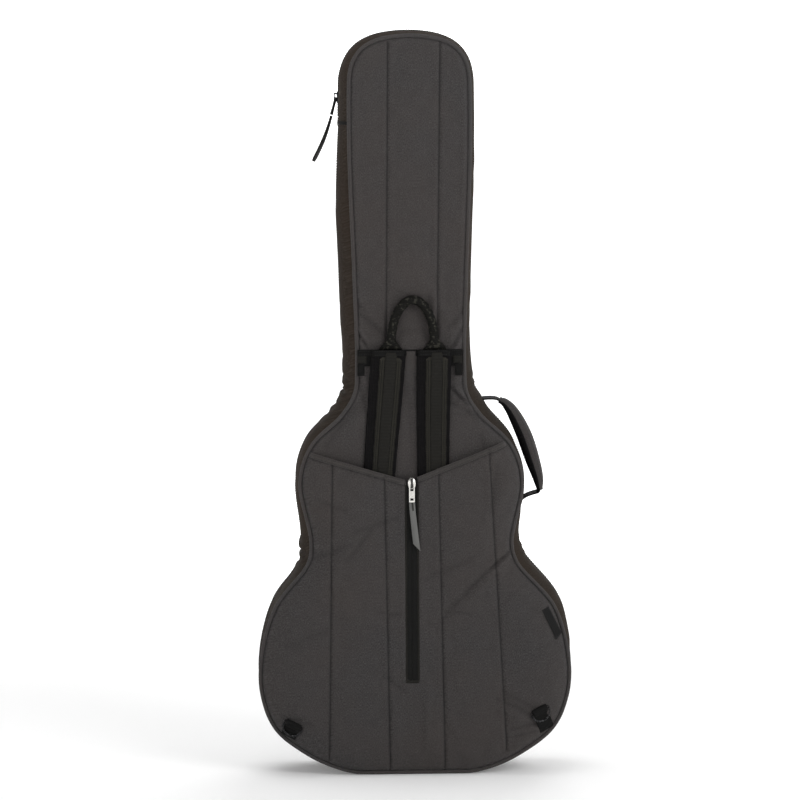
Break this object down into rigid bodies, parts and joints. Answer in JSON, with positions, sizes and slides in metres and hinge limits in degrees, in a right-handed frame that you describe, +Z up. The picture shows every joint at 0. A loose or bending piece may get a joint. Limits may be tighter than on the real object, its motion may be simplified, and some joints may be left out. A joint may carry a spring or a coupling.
{
  "type": "padded gig bag",
  "caption": "Guitar-shaped padded soft case with fold-open lid, back pocket holding shoulder straps, carry handles and strap rings.",
  "frame": {"origin": "middle of the flat base, on the floor, midway across the side wall's depth", "axes": "+Z up along the neck, +Y out of the opening lid, -Y out of the back panel with the straps, +X to the right when the back is seen"},
  "size_m": [0.4692, 0.172, 1.1201],
  "materials": {
    "shell": "heathered charcoal woven polyester, quilted",
    "shell_side": "heathered charcoal woven polyester, darker",
    "lining": "brushed grey plush over foam",
    "piping": "cloth-covered cord",
    "webbing": "ribbed black webbing",
    "strap_band": "olive-grey grosgrain",
    "mesh": "black spacer mesh",
    "zip_tape": "black coil zip",
    "nickel": "polished nickel",
    "black_metal": "satin black",
    "plastic": "black moulded acetal",
    "grey_tab": "grey rubberised strip",
    "dark_tab": "dark rubberised strip",
    "label": "plain black woven label"
  },
  "bodies": {
    "bag": {"back_panel": "shell", "back_padding": "lining", "wing_panel": "shell", "wing_padding": "lining", "hinge_gusset": "shell_side", "back_gusset": "shell_side", "head_gusset": "shell_side", "back_piping": "piping", "wing_piping": "piping", "main_zip_tape_back": "zip_tape", "main_zip_tape_head": "zip_tape", "stow_pocket": "shell", "stow_hem_left": "shell", "stow_hem_right": "shell", "stow_zip_tape_left": "zip_tape", "stow_zip_tape_right": "zip_tape", "stow_zip_end_tab": "zip_tape", "yoke_band": "webbing", "handle_tab_left": "webbing", "handle_tab_right": "webbing", "strap_pad_left": "mesh", "strap_band_left": "strap_band", "strap_webbing_left": "webbing", "strap_buckle_left": "plastic", "strap_tail_left": "webbing", "snap_hook_left": "black_metal", "strap_pad_right": "mesh", "strap_band_right": "strap_band", "strap_webbing_right": "webbing", "strap_buckle_right": "plastic", "strap_tail_right": "webbing", "snap_hook_right": "black_metal", "handle_strap_upper": "webbing", "handle_strap_lower": "webbing", "d_ring_tab_left": "webbing", "d_ring_tab_right": "webbing", "side_label": "label", "neck_rest": "lining", "end_bumper": "lining"},
    "lid": {"lid_panel": "shell", "lid_padding": "lining", "lid_gusset": "shell_side", "lid_piping": "piping", "main_zip_tape_lid": "zip_tape", "lid_pocket": "shell", "lid_zip_tape_left": "zip_tape", "lid_zip_tape_right": "zip_tape"},
    "main_slider": {"main_slider": "nickel"},
    "main_pull": {"main_pull": "black_metal", "main_pull_tab": "dark_tab"},
    "stow_slider": {"stow_slider": "nickel"},
    "stow_pull": {"stow_pull": "nickel", "stow_pull_tab": "grey_tab"},
    "lid_slider": {"lid_slider": "nickel"},
    "lid_pull": {"lid_pull": "nickel", "lid_pull_tab": "grey_tab"},
    "d_ring_left": {"d_ring_left": "black_metal"},
    "d_ring_right": {"d_ring_right": "black_metal"},
    "loop_handle": {"loop_handle": "webbing"},
    "side_handle": {"side_grip": "shell_side"}
  },
  "joints": [
    {"name": "lid_fold", "type": "hinge", "parent": "bag", "child": "lid", "pos_m": [-0.069, 0.0656, 0], "axis": [0, -0.0181, 0.9998], "range_deg": [0, 120]},
    {"name": "main_slider_run", "type": "slide", "parent": "bag", "child": "main_slider", "axis": [0, 0, 1], "range_m": [-0.022, 0.018]},
    {"name": "main_pull_swing", "type": "hinge", "parent": "main_slider", "child": "main_pull", "pos_m": [-0.1084, 0.01, 1.0215], "axis": [0, 1, 0], "range_deg": [-13, 130]},
    {"name": "stow_slider_run", "type": "slide", "parent": "bag", "child": "stow_slider", "axis": [0, 0, -1], "range_m": [0, 0.285]},
    {"name": "stow_pull_swing", "type": "hinge", "parent": "stow_slider", "child": "stow_pull", "pos_m": [0, -0.0858, 0.4445], "axis": [-1, 0, 0], "range_deg": [0, 150]},
    {"name": "lid_slider_run", "type": "slide", "parent": "lid", "child": "lid_slider", "axis": [0, 0.0181, -0.9998], "range_m": [0, 0.22]},
    {"name": "lid_pull_swing", "type": "hinge", "parent": "lid_slider", "child": "lid_pull", "pos_m": [0.08, 0.07986, 0.32859], "axis": [1, 0, 0], "range_deg": [0, 150]},
    {"name": "d_ring_left_swing", "type": "hinge", "parent": "bag", "child": "d_ring_left", "pos_m": [-0.17971, -0.08118, 0.08095], "axis": [-0.8887, 0.1495, 0.4334], "range_deg": [0, 110]},
    {"name": "d_ring_right_swing", "type": "hinge", "parent": "bag", "child": "d_ring_right", "pos_m": [0.19122, -0.08153, 0.09971], "axis": [-0.8726, -0.2398, -0.4256], "range_deg": [0, 110]},
    {"name": "loop_handle_fold", "type": "hinge", "parent": "bag", "child": "loop_handle", "pos_m": [0, -0.0744, 0.645], "axis": [1, 0, 0], "range_deg": [0, 90]},
    {"name": "side_handle_swing", "type": "hinge", "parent": "bag", "child": "side_handle", "pos_m": [0.136, -0.02, 0.563], "axis": [0.4036, 0, -0.9149], "range_deg": [-12, 12]}
  ]
}
